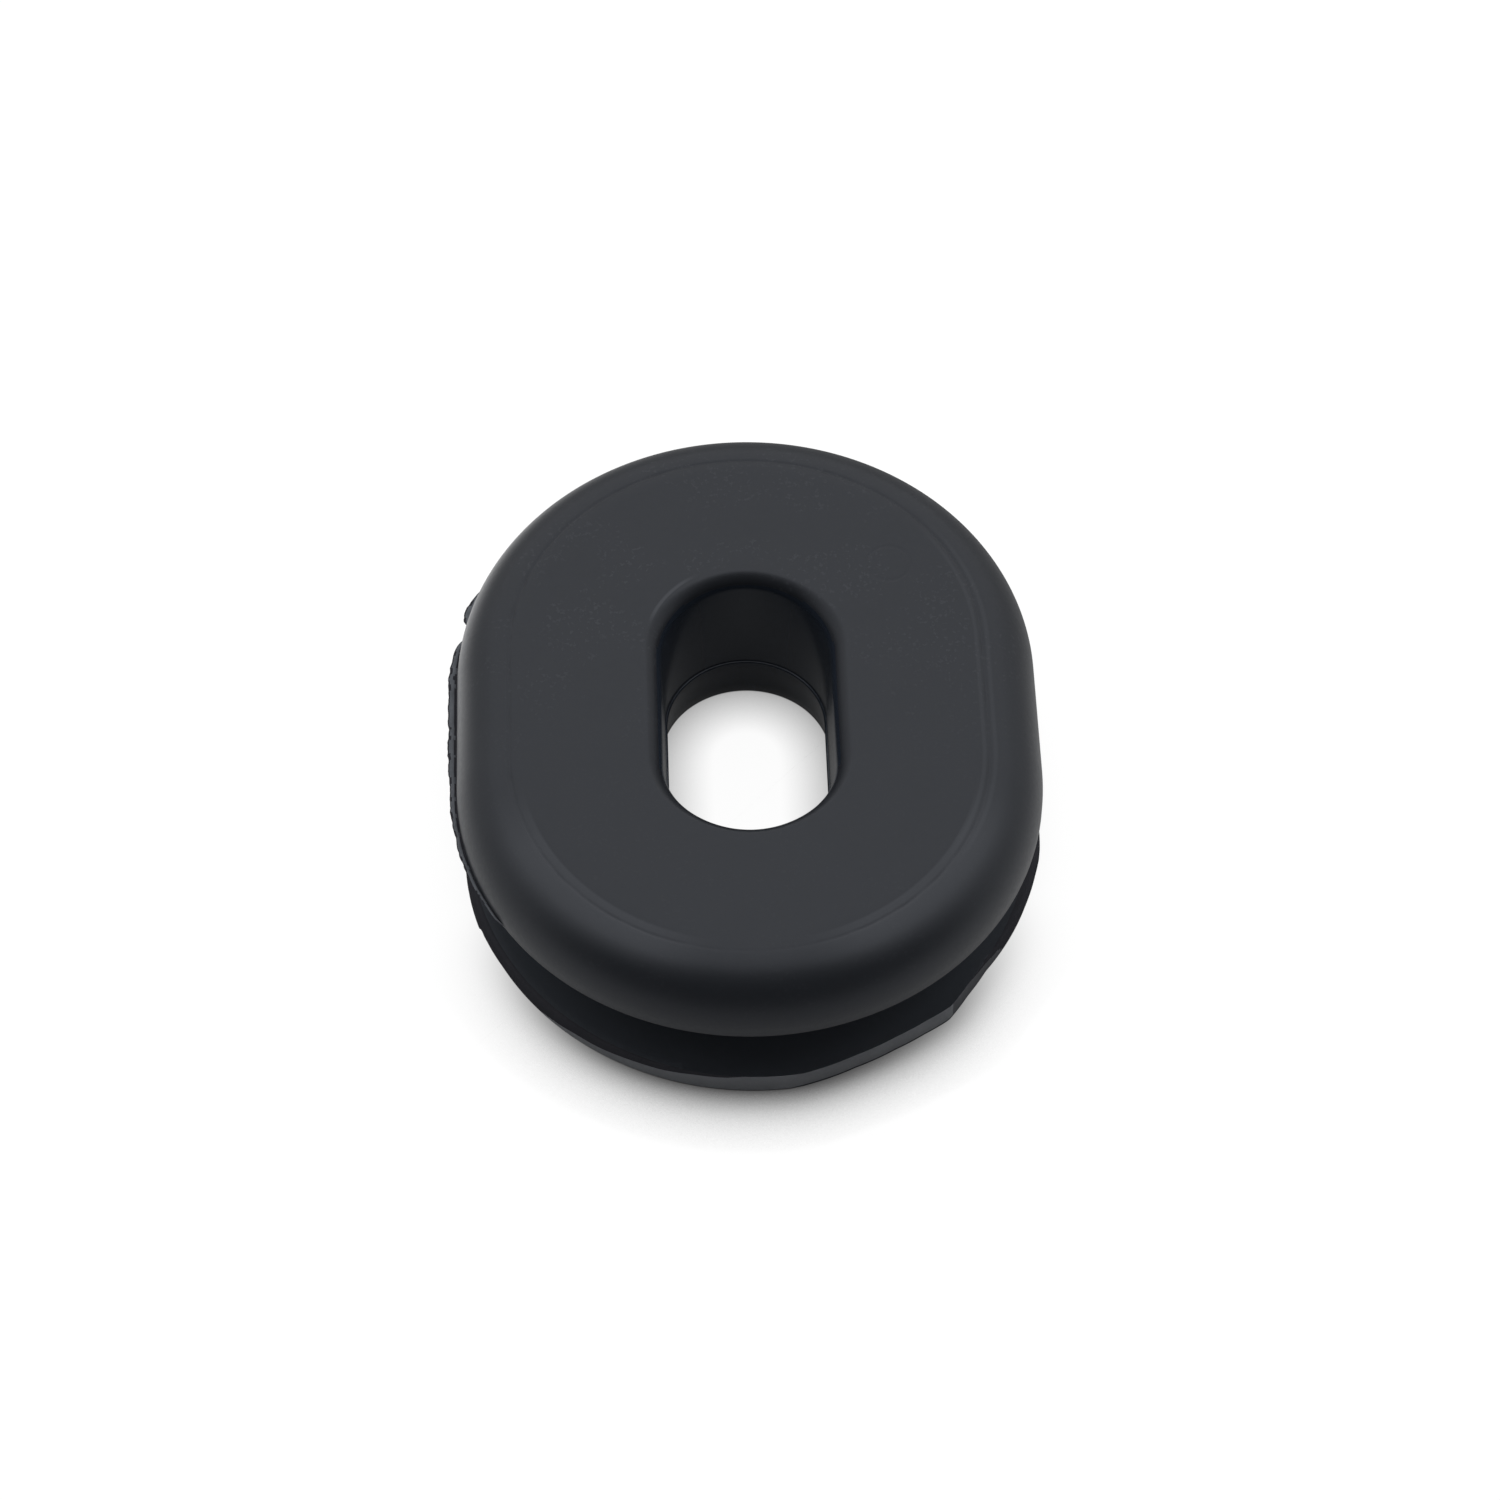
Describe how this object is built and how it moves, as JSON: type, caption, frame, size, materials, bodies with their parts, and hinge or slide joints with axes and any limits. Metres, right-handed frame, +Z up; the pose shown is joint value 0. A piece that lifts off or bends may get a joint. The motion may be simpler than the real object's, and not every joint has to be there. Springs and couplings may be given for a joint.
{
  "type": "rubber grommet",
  "caption": "Oblong rubber grommet that clips into a panel by the groove between its flanges, with a rounded top edge and a slot through the middle.",
  "frame": {"origin": "centre of the underside, on the floor that the lower flange stands on", "axes": "+X across the slot, +Y along the slot and the long sides, +Z up through the slot towards the rounded top edge"},
  "size_m": [0.0246, 0.0292, 0.008],
  "materials": {
    "rubber": "matte moulded rubber, dark blue-grey, faintly speckled"
  },
  "bodies": {
    "root": {"grommet": "rubber"}
  },
  "joints": []
}
